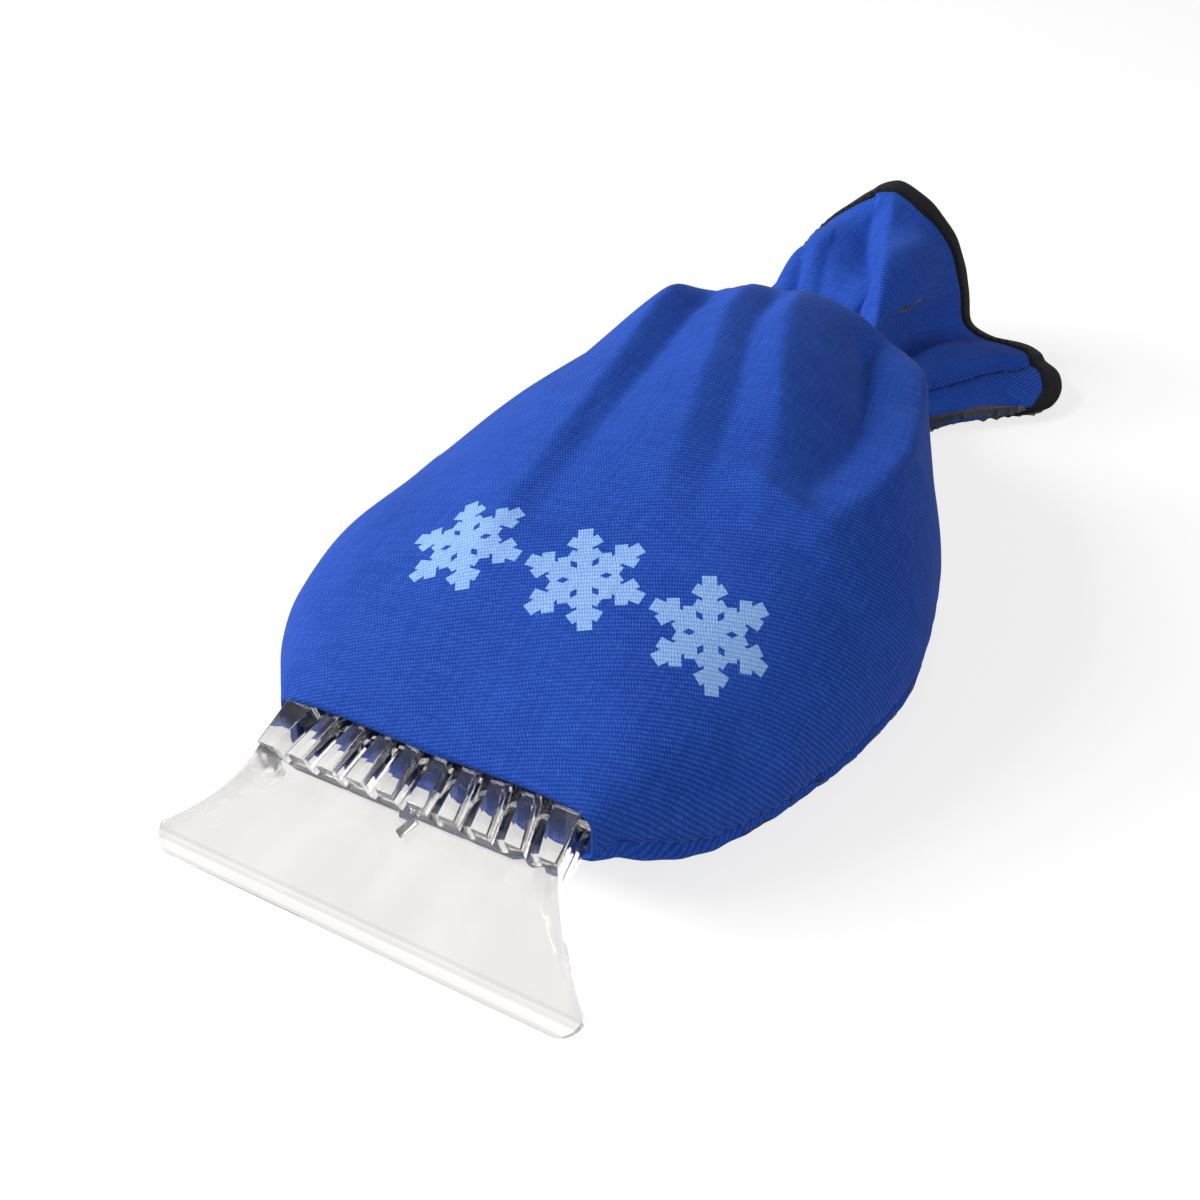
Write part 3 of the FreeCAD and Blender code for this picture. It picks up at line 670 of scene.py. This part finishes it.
def clear_plastic(settings):
    """Clear polystyrene with faint moulding haze, fine scratches and uneven surfaces, with painted shade
    at the blade's two ends and along its front edge, and a painted highlight band with a painted shade
    line just behind the front edge.
    """
    recipe = Recipe("clear_plastic")
    place = recipe.add("ShaderNodeTexCoord", output=3)
    across = recipe.add("ShaderNodeSeparateXYZ", {}, {0: place})
    behind = (Field(recipe, across.socket.node.outputs[1]) - HEAD_LOW.y) / MM
    scuffs = recipe.noise(place, 90.0, 2.0, 0.6)
    swell = recipe.noise(place, 60.0, 2.0)
    haze = recipe.noise(recipe.stretched(place, (90.0, 45.0, 45.0)), 1.0, 2.0)
    tint = tuple(settings.plastic_tint)
    colour = recipe.mix(recipe.ease(haze, 0.35, 0.7), tint, tuple(0.25 + 0.75 * part for part in tint))
    # Painted shade: the blade's two outer ends, near its front, are painted darker grey.
    outward = abs((across - (HEAD_LOW.x + HEAD_HIGH.x) / 2) / MM) + behind * 0.6
    colour = recipe.mix(recipe.ease(outward, 50.0, 58.0) * (behind < 36.0), colour, (0.66, 0.655, 0.645))
    # Painted highlight: a paler band from about 0.4 to 3 mm behind the blade's front edge.
    painted_highlight_band = recipe.ease(behind, 0.4, 0.8) * (1 - recipe.ease(behind, 2.7, 3.1))
    colour = recipe.mix(painted_highlight_band, colour, (0.96, 0.955, 0.945))
    shade = recipe.ease(behind, 2.9, 3.2) * (1 - recipe.ease(behind, 3.5, 4.1))
    colour = recipe.mix(shade * 0.6, colour, (0.56, 0.55, 0.54))
    # Painted shade: the blade's very front edge, its first half mm, is painted darker grey.
    colour = recipe.mix((behind < 0.45) * 0.7, colour, (0.6, 0.59, 0.58))
    roughness = recipe.ease(scuffs, 0.45, 0.8) * 0.05 + 0.015
    return recipe.finish(
        Base_Color=colour, Roughness=roughness,
        Normal=recipe.bump(swell, 0.2, 0.0003), Transmission_Weight=1.0, IOR=1.47, Alpha=0.92,
    )


def fleece():
    """Dark brushed fleece."""
    recipe = Recipe("fleece")
    place, _, _ = recipe.cloth_place()
    pile = recipe.noise(place, 1.1, 4.0, 0.7)
    clumps = recipe.noise(place, 0.25, 2.0)
    tuft = recipe.ease(pile * 0.7 + clumps * 0.3, 0.3, 0.7)
    colour = recipe.mix(tuft, (0.012, 0.014, 0.024), (0.022, 0.026, 0.042))
    return recipe.finish(
        Base_Color=colour, Roughness=0.95 - pile * 0.1, Normal=recipe.bump(pile, 0.5, 0.0007),
        Sheen_Weight=0.25, Sheen_Roughness=0.6, Specular_IOR_Level=0.1,
    )


def ribbed_tape(name, dark, light, pitch):
    """Woven tape with cross ribs and a faint twill."""
    recipe = Recipe(name)
    place, x, y = recipe.cloth_place()
    ribs = recipe.sine((y + recipe.noise(place, 0.3) * 0.4) * (2 * math.pi / pitch))
    twill = recipe.sine((x * 3.1 + y * 2.0) * (math.pi / pitch))
    fuzz = recipe.noise(place, 2.5, 3.0, 0.6)
    height = ribs * 0.4 + twill * 0.25 + fuzz * 0.5
    colour = recipe.mix(recipe.ease(height, -0.2, 0.9), dark, light)
    return recipe.finish(
        Base_Color=colour, Roughness=0.85 - recipe.ease(ribs, 0, 1) * 0.12,
        Normal=recipe.bump(height, 0.35, 0.0002), Sheen_Weight=0.03, Specular_IOR_Level=0.1,
    )


def twisted_thread():
    """Blue sewing thread with its twist."""
    recipe = Recipe("sewing_thread")
    _, x, y = recipe.cloth_place()
    twist = recipe.sine(x * (2 * math.pi / 7.0) + y * (2 * math.pi / 0.7))
    colour = recipe.mix(recipe.ease(twist, -1, 1), (0.009, 0.04, 0.22), (0.03, 0.11, 0.46))
    return recipe.finish(
        Base_Color=colour, Roughness=0.55 - recipe.ease(twist, -1, 1) * 0.1,
        Normal=recipe.bump(twist, 0.5, 0.00008), Sheen_Weight=0.15,
    )


def pale_floor():
    """Plain white paper floor."""
    recipe = Recipe("paper_floor")
    place = recipe.add("ShaderNodeTexCoord", output=3)
    grain = recipe.noise(place, 300.0, 2.0)
    return recipe.finish(
        Base_Color=recipe.mix(grain, (0.24, 0.24, 0.24), (0.26, 0.26, 0.26)), Roughness=0.9,
        Specular_IOR_Level=0.0, Emission_Color=(1.0, 1.0, 1.0), Emission_Strength=0.76,
    )


def dress(piece, material):
    """Gives a piece its material."""
    piece.data.materials.append(material)


def across_wrist(piece):
    """Bakes a cloth piece's placement into its mesh."""
    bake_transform(piece)


GRIDS = {}


def cloth_grids(settings):
    """The upper and lower outer panels and their seams, worked out once."""
    if not GRIDS:
        for top in (True, False):
            grid = panel_grid(top)
            grid = grid + normals_of(grid) * ruffle(grid, settings, top)[:, :, None] * (1 if top else -1)
            grid[:, :, 2] = np.maximum(grid[:, :, 2], 0.25)
            GRIDS[top] = grid
        upper, lower = GRIDS[True], GRIDS[False]
        for column in (0, -1):
            seam = (upper[:, column] + lower[:, column]) / 2
            for grid in (upper, lower):
                shift = seam - grid[:, column]
                share = np.linspace(0, 1, grid.shape[1])
                share = share if column == 0 else 1 - share
                ease = np.exp(-((share / 0.03) ** 2))
                grid += shift[:, None, :] * ease[None, :, None]
    return GRIDS[True], GRIDS[False]


class MittSettings(bpy.types.PropertyGroup):
    """Sizes and colours of the mitt."""

    weave_pitch: bpy.props.FloatProperty(
        name="Weave pitch", description="Distance between two yarns that look alike",
        default=0.00112, min=0.0003, unit="LENGTH")
    cloth_thickness: bpy.props.FloatProperty(
        name="Cloth thickness", description="Thickness of the outer cloth",
        default=0.0009, min=0.0002, unit="LENGTH")
    lining_thickness: bpy.props.FloatProperty(
        name="Lining thickness", description="Thickness of the fleece lining",
        default=0.0016, min=0.0002, unit="LENGTH")
    gather_depth: bpy.props.FloatProperty(
        name="Gather depth", description="How far the gathers at the wrist stand out",
        default=0.0013, min=0.0, unit="LENGTH")
    fold_depth: bpy.props.FloatProperty(
        name="Fold depth", description="Strength of the soft folds that run forward from the wrist",
        default=1.15, min=0.0, subtype="FACTOR")
    binding_width: bpy.props.FloatProperty(
        name="Binding width", description="Width of the tape on each side of the cuff's edge",
        default=0.0088, min=0.002, unit="LENGTH")
    thread_gauge: bpy.props.FloatProperty(
        name="Thread gauge", description="Diameter of the sewing thread",
        default=0.00045, min=0.0001, unit="LENGTH")
    bevel: bpy.props.FloatProperty(
        name="Moulded edge", description="Radius of the plastic's moulded edges",
        default=0.00035, min=0.0, unit="LENGTH")
    motif_pitch: bpy.props.FloatProperty(
        name="Motif pitch", description="Distance between two printed snowflakes",
        default=0.0310, min=0.005, unit="LENGTH")
    motif_across: bpy.props.FloatProperty(
        name="Motif across", description="Middle of the print, across from the middle line",
        default=0.012, unit="LENGTH")
    motif_along: bpy.props.FloatProperty(
        name="Motif along", description="Middle of the print, along from the slot",
        default=0.052, unit="LENGTH")
    motif_turn: bpy.props.FloatProperty(
        name="Motif turn", description="Angle of the row of snowflakes in degrees", default=0.0)
    cloth_deep: bpy.props.FloatVectorProperty(
        name="Cloth ground, deep", description="Deeper shade of the cloth between its yarns",
        subtype="COLOR", default=(0.011, 0.044, 0.285), min=0, max=1)
    cloth_dark: bpy.props.FloatVectorProperty(
        name="Cloth ground", description="Shade of the cloth between its yarns",
        subtype="COLOR", default=(0.014, 0.054, 0.33), min=0, max=1)
    cloth_light: bpy.props.FloatVectorProperty(
        name="Cloth yarns", description="Shade of the raised yarns",
        subtype="COLOR", default=(0.036, 0.122, 0.56), min=0, max=1)
    print_dark: bpy.props.FloatVectorProperty(
        name="Print, thin", description="Shade of the print where it is thin",
        subtype="COLOR", default=(0.20, 0.36, 0.72), min=0, max=1)
    print_light: bpy.props.FloatVectorProperty(
        name="Print", description="Shade of the print on the raised yarns",
        subtype="COLOR", default=(0.38, 0.58, 0.90), min=0, max=1)
    plastic_tint: bpy.props.FloatVectorProperty(
        name="Plastic tint", description="Tint of the clear plastic",
        subtype="COLOR", default=(0.80, 0.783, 0.75), min=0, max=1)


class ICEMITT_OT_stage(bpy.types.Operator):
    """Add the camera, the paper floor and the soft studio light"""

    bl_idname = "icemitt.stage"
    bl_label = "Stage"

    def execute(self, context):
        scene = context.scene
        scene.view_settings.view_transform = "Standard"
        turn, lift, distance = math.radians(26.7), math.radians(38.0), 0.264
        back = Vector((math.sin(turn) * math.cos(lift), -math.cos(turn) * math.cos(lift), math.sin(lift)))
        target = Vector(ORIGIN) + Vector((0.006, 0.0895, 0.03))
        camera = bpy.data.objects.new("camera", bpy.data.cameras.new("camera"))
        camera.data.lens = 33.0
        camera.data.sensor_width = 36.0
        camera.location = target + back * distance
        camera.rotation_euler = back.to_track_quat("Z", "Y").to_euler()
        scene.collection.objects.link(camera)
        scene.camera = camera

        mesh = bpy.data.meshes.new("floor")
        half = 20.0
        corners = [(-half, -half, 0), (half, -half, 0), (half, half, 0), (-half, half, 0)]
        mesh.from_pydata(corners, [], [(0, 1, 2, 3)])
        floor = bpy.data.objects.new("floor", mesh)
        floor.location = (0, 0, ORIGIN[2] - 0.0002)
        scene.collection.objects.link(floor)
        floor.data.materials.append(pale_floor())
        floor.visible_diffuse = False

        world = bpy.data.worlds.new("studio")
        world.use_nodes = True
        world.node_tree.nodes["Background"].inputs["Color"].default_value = (1, 1, 1, 1)
        nodes, links = world.node_tree.nodes, world.node_tree.links
        path = nodes.new("ShaderNodeLightPath")
        place = nodes.new("ShaderNodeTexCoord")
        split = nodes.new("ShaderNodeSeparateXYZ")
        links.new(place.outputs["Generated"], split.inputs[0])
        sky = nodes.new("ShaderNodeMapRange")
        sky.inputs["From Min"].default_value = 0.0
        sky.inputs["From Max"].default_value = 0.5
        sky.inputs["To Min"].default_value = 0.5
        sky.inputs["To Max"].default_value = 1.05
        links.new(split.outputs["Z"], sky.inputs["Value"])
        dim = nodes.new("ShaderNodeMix")
        links.new(path.outputs["Is Diffuse Ray"], dim.inputs["Factor"])
        links.new(sky.outputs["Result"], dim.inputs["A"])
        dim.inputs["B"].default_value = 0.16
        seen = nodes.new("ShaderNodeMix")
        links.new(path.outputs["Is Camera Ray"], seen.inputs["Factor"])
        links.new(dim.outputs["Result"], seen.inputs["A"])
        seen.inputs["B"].default_value = 1.0
        links.new(seen.outputs["Result"], nodes["Background"].inputs["Strength"])
        scene.world = world
        for name, place, size, power in (
            ("key", (-2.8, -0.75, 1.75), 1.5, 160.0),
            ("fill", (1.9, -2.4, 0.95), 1.6, 46.0),
            ("top", (-0.4, 0.6, 3.0), 1.6, 8.0),
        ):
            light = bpy.data.lights.new(name, "AREA")
            light.size = size
            light.energy = power
            lamp = bpy.data.objects.new(name, light)
            lamp.location = place
            lamp.rotation_euler = (Vector(place) - target).to_track_quat("Z", "Y").to_euler()
            lamp.visible_glossy = name != "fill"
            lamp.visible_transmission = name != "fill"
            scene.collection.objects.link(lamp)
        return {"FINISHED"}


class ICEMITT_OT_scraper_head(bpy.types.Operator):
    """Finish the moulded scraper head in clear plastic with soft moulded edges"""

    bl_idname = "icemitt.scraper_head"
    bl_label = "Scraper head"

    def execute(self, context):
        settings = context.scene.ice_mitt
        moulding = rounded_moulding(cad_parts["scraper_head"].data, settings.bevel)
        head = add_piece("clear_head", moulding, "mitt")
        head.data.set_sharp_from_angle(angle=math.radians(38))
        even = head.modifiers.new("even shading", "WEIGHTED_NORMAL")
        even.keep_sharp = True
        dress(head, clear_plastic(settings))
        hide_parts("scraper_head")
        head.visible_shadow = False
        head.visible_diffuse = False
        return {"FINISHED"}


class ICEMITT_OT_outer_cloth(bpy.types.Operator):
    """Sew the upper and lower outer panels, from the slot over the wrist to the cuff's mouth"""

    bl_idname = "icemitt.outer_cloth"
    bl_label = "Outer cloth"

    def execute(self, context):
        settings = context.scene.ice_mitt
        upper, lower = cloth_grids(settings)
        thickness = settings.cloth_thickness / MM
        top = sew("outer_top", upper, thickness)
        dress(top, blue_cloth(settings, True))
        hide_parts("outer_top_panel", "wrist_gather_outer", "cuff_top_panel")
        across_wrist(top)
        bottom = sew("outer_bottom", lower, -thickness)
        dress(bottom, blue_cloth(settings, False))
        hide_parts("outer_bottom_panel", "cuff_bottom_panel")
        across_wrist(bottom)
        return {"FINISHED"}


class ICEMITT_OT_lining(bpy.types.Operator):
    """Sew the fleece lining inside the outer cloth"""

    bl_idname = "icemitt.lining"
    bl_label = "Lining"

    def execute(self, context):
        settings = context.scene.ice_mitt
        upper, lower = cloth_grids(settings)
        gap = settings.cloth_thickness / MM + 0.5
        thickness = settings.lining_thickness / MM
        material = fleece()
        for name, grid, side, nodes in (
            ("lining_top", upper, 1, ("lining_top_panel", "wrist_gather_lining", "cuff_lining_top")),
            ("lining_bottom", lower, -1, ("lining_bottom_panel", "cuff_lining_bottom")),
        ):
            coarse = grid[LINING_ROWS]
            piece = sew(name, coarse - normals_of(coarse) * gap * side, thickness * side)
            dress(piece, material)
            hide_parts(*nodes)
            across_wrist(piece)
        return {"FINISHED"}


class ICEMITT_OT_slot_edge(bpy.types.Operator):
    """Turn the hem of the slot round its elastic and stitch it down"""

    bl_idname = "icemitt.slot_edge"
    bl_label = "Slot edge"

    def execute(self, context):
        settings = context.scene.ice_mitt
        upper, lower = cloth_grids(settings)
        front = np.concatenate([upper[0], lower[0][-2:0:-1]])
        second = np.concatenate([upper[6], lower[6][-2:0:-1]])
        middle = front.mean(axis=0)
        front, second = closed_line(front, SLOT_POINTS), closed_line(second, SLOT_POINTS)
        inward = unit((middle - front) * (1, 0, 1))
        back = unit(second - front)
        hem = ring("hem_fold", front + back * 2.9 + inward * 1.25, back, inward,
                   round_profile(12, 2.9, 0.8, 0.8))
        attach(hem, "mitt")
        dress(hem, blue_cloth(settings, False))
        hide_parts("slot_hem")
        band = ring("slot_band", front + back * 3.0 + inward * 1.25, back, inward,
                    round_profile(10, 1.9, 0.4, 0.6))
        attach(band, "mitt")
        dress(band, ribbed_tape("woven_elastic", ELASTIC_DARK, ELASTIC_LIGHT, 0.9))
        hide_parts("slot_elastic")
        row = front + back * 5.0 + inward * 2.0
        runs = stitches(row, inward, 3.0, 2.2, settings.thread_gauge / MM)
        thread = thread_piece("slot_stitches", runs, "mitt")
        dress(thread, twisted_thread())
        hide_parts("slot_stitching")
        return {"FINISHED"}


class ICEMITT_OT_side_seams(bpy.types.Operator):
    """Stitch the side seams of the mitt and of the cuff"""

    bl_idname = "icemitt.side_seams"
    bl_label = "Side seams"

    def execute(self, context):
        settings = context.scene.ice_mitt
        upper, lower = cloth_grids(settings)
        material = twisted_thread()
        for side, column in (("left", 0), ("right", -1)):
            seam, way = upper[:, column], upper[:, column] - upper[:, 4 if column == 0 else -5]
            way = unit(way * (0.2, 0.2, 1.0) + np.array([-0.8 if column == 0 else 0.8, 0, 0]))
            for body, part, node in (
                ("mitt", slice(6, WRIST_ROW - 2), f"side_stitching_{side}"),
                ("cuff", slice(WRIST_ROW + 20, -8), f"cuff_stitching_{side}"),
            ):
                sunk = seam[part] - way[part] * (0.3 if body == "mitt" else 0.6)
                runs = stitches(sunk, way[part], 3.2, 2.4, settings.thread_gauge / MM)
                thread = thread_piece(f"{body}_seam_{side}", runs, body)
                dress(thread, material)
                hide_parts(node)
        return {"FINISHED"}


class ICEMITT_OT_wrist(bpy.types.Operator):
    """Draw the wrist in with its elastic and stitch it through the gathers"""

    bl_idname = "icemitt.wrist"
    bl_label = "Wrist"

    def execute(self, context):
        settings = context.scene.ice_mitt
        upper, lower = cloth_grids(settings)
        inset = (settings.cloth_thickness + settings.lining_thickness) / MM + 3.2
        line = np.concatenate([upper[WRIST_ROW], lower[WRIST_ROW][-2:0:-1]])
        line = closed_line(line, WRIST_POINTS)
        out = unit((line - line.mean(axis=0)) * (1, 0, 1))
        back = np.zeros_like(out)
        back[:, 1] = 1.0
        inner = line - out * inset
        inner = (inner + np.roll(inner, 3, 0) + np.roll(inner, -3, 0) + np.roll(inner, 6, 0)) / 4
        inner[:, 1] -= 2.5
        band = ring("wrist_band", inner, back, out, round_profile(12, 2.8, 0.55, 0.5))
        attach(band, "mitt")
        dress(band, ribbed_tape("wrist_woven_elastic", ELASTIC_DARK, ELASTIC_LIGHT, 0.9))
        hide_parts("wrist_elastic")
        runs = []
        for grid, side in ((upper, 1), (lower, -1)):
            outward = normals_of(grid)[WRIST_ROW] * side
            runs += stitches(grid[WRIST_ROW], outward, 3.0, 2.2, settings.thread_gauge / MM)
        thread = thread_piece("wrist_stitches", runs, "mitt")
        dress(thread, twisted_thread())
        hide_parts("wrist_stitching")
        return {"FINISHED"}


class ICEMITT_OT_binding(bpy.types.Operator):
    """Fold the black tape over the cuff's edge and stitch it"""

    bl_idname = "icemitt.binding"
    bl_label = "Binding"

    def execute(self, context):
        settings = context.scene.ice_mitt
        upper, lower = cloth_grids(settings)
        width = settings.binding_width / MM
        edge = np.concatenate([upper[-1], lower[-1][-2:0:-1]])
        inner = np.concatenate([upper[TAPE_BACK_TOP], lower[TAPE_BACK_BOTTOM][-2:0:-1]])
        both = np.concatenate([edge, inner], axis=1)
        both = np.concatenate([both, both[:1]])
        walked = run_along(both[:, :3])
        at = np.linspace(0, walked[-1], TAPE_POINTS, endpoint=False)
        both = read_along(both, walked, at)
        edge = evened(both[:, :3], 2.0)
        back = unit(evened(both[:, 3:] - both[:, :3], 9.0))
        way = evened(np.roll(edge, -1, 0) - np.roll(edge, 1, 0), 4.0)
        out = unit(np.cross(back, way))
        out *= np.sign(out[:len(upper[-1]), 2].sum())
        uneven = 1 + 0.05 * np.sin(at / 6.1) + 0.04 * np.sin(at / 2.3 + 1)
        middle = edge + back * (width / 2 - 0.9) - out * 0.45
        profile = round_profile(20, width / 2, 1.35, 0.62)
        tape = ring("cuff_tape", middle, back * uneven[:, None], out * uneven[:, None], profile)
        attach(tape, "cuff")
        black = ribbed_tape("binding_tape", (0.003, 0.0033, 0.004), (0.011, 0.012, 0.014), 0.8)
        dress(tape, black)
        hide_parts("cuff_binding")
        row = edge + back * (width * 0.72) + out * 0.75
        runs = stitches(row, out, 3.2, 2.3, settings.thread_gauge / MM)
        thread = thread_piece("tape_stitches", runs, "cuff")
        black = ribbed_tape("black_thread", (0.005, 0.005, 0.006), (0.02, 0.02, 0.024), 0.7)
        dress(thread, black)
        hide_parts("binding_stitching")
        return {"FINISHED"}


class ICEMITT_PT_panel(bpy.types.Panel):
    """Lists the pieces of the mitt"""

    bl_idname = "ICEMITT_PT_panel"
    bl_label = "Ice Mitt"
    bl_space_type = "VIEW_3D"
    bl_region_type = "UI"
    bl_category = "Ice Mitt"

    def draw(self, context):
        for operator in OPERATORS:
            self.layout.operator(operator.bl_idname)
        for name in MittSettings.__annotations__:
            self.layout.prop(context.scene.ice_mitt, name)


OPERATORS = (
    ICEMITT_OT_stage,
    ICEMITT_OT_scraper_head,
    ICEMITT_OT_outer_cloth,
    ICEMITT_OT_lining,
    ICEMITT_OT_slot_edge,
    ICEMITT_OT_side_seams,
    ICEMITT_OT_wrist,
    ICEMITT_OT_binding,
)
CLASSES = (MittSettings, *OPERATORS, ICEMITT_PT_panel)


def register():
    for each in CLASSES:
        bpy.utils.register_class(each)
    bpy.types.Scene.ice_mitt = bpy.props.PointerProperty(type=MittSettings)


def unregister():
    del bpy.types.Scene.ice_mitt
    for each in reversed(CLASSES):
        bpy.utils.unregister_class(each)


def main():
    """Builds every piece in order."""
    register()
    for operator in OPERATORS:
        group, name = operator.bl_idname.split(".")
        getattr(getattr(bpy.ops, group), name)()


if __name__ == "__main__":
    main()
